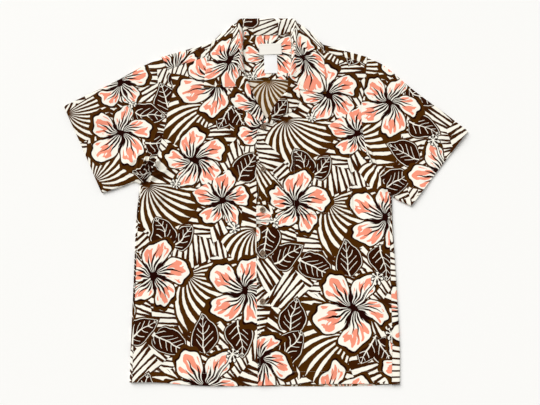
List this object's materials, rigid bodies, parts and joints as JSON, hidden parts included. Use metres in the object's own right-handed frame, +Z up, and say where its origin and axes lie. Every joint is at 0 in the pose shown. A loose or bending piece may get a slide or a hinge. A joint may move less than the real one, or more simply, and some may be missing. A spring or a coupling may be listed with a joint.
{
  "type": "short-sleeved camp-collar shirt, laid flat",
  "caption": "Short-sleeved button-up shirt with an open camp collar, a chest pocket and a large floral print, buttoned and laid flat on its back.",
  "frame": {"origin": "middle of the laid shirt's box, on the surface that it lies on", "axes": "+X towards the wearer's left sleeve (the longest side), +Y towards the collar, +Z up out of the surface"},
  "size_m": [0.8904, 0.798, 0.0122],
  "materials": {
    "printed_cotton": "matte, dark olive and brown ground with cream and coral flowers",
    "printed_cotton_back": "matte, the print's paler wrong side shows inside the neck",
    "button_shell": "satin, mottled brown",
    "label_tape": "smooth white tape, bare"
  },
  "bodies": {
    "root": {"back": "printed_cotton_back", "yoke_outer": "printed_cotton", "yoke_inner": "printed_cotton", "front_left": "printed_cotton", "front_right": "printed_cotton", "sleeve_left": "printed_cotton", "sleeve_right": "printed_cotton", "collar": "printed_cotton", "lapel_left": "printed_cotton", "lapel_right": "printed_cotton", "pocket": "printed_cotton", "button_1": "button_shell", "button_2": "button_shell", "button_3": "button_shell", "button_4": "button_shell", "button_5": "button_shell", "neck_label": "label_tape", "care_label": "label_tape"}
  },
  "joints": []
}
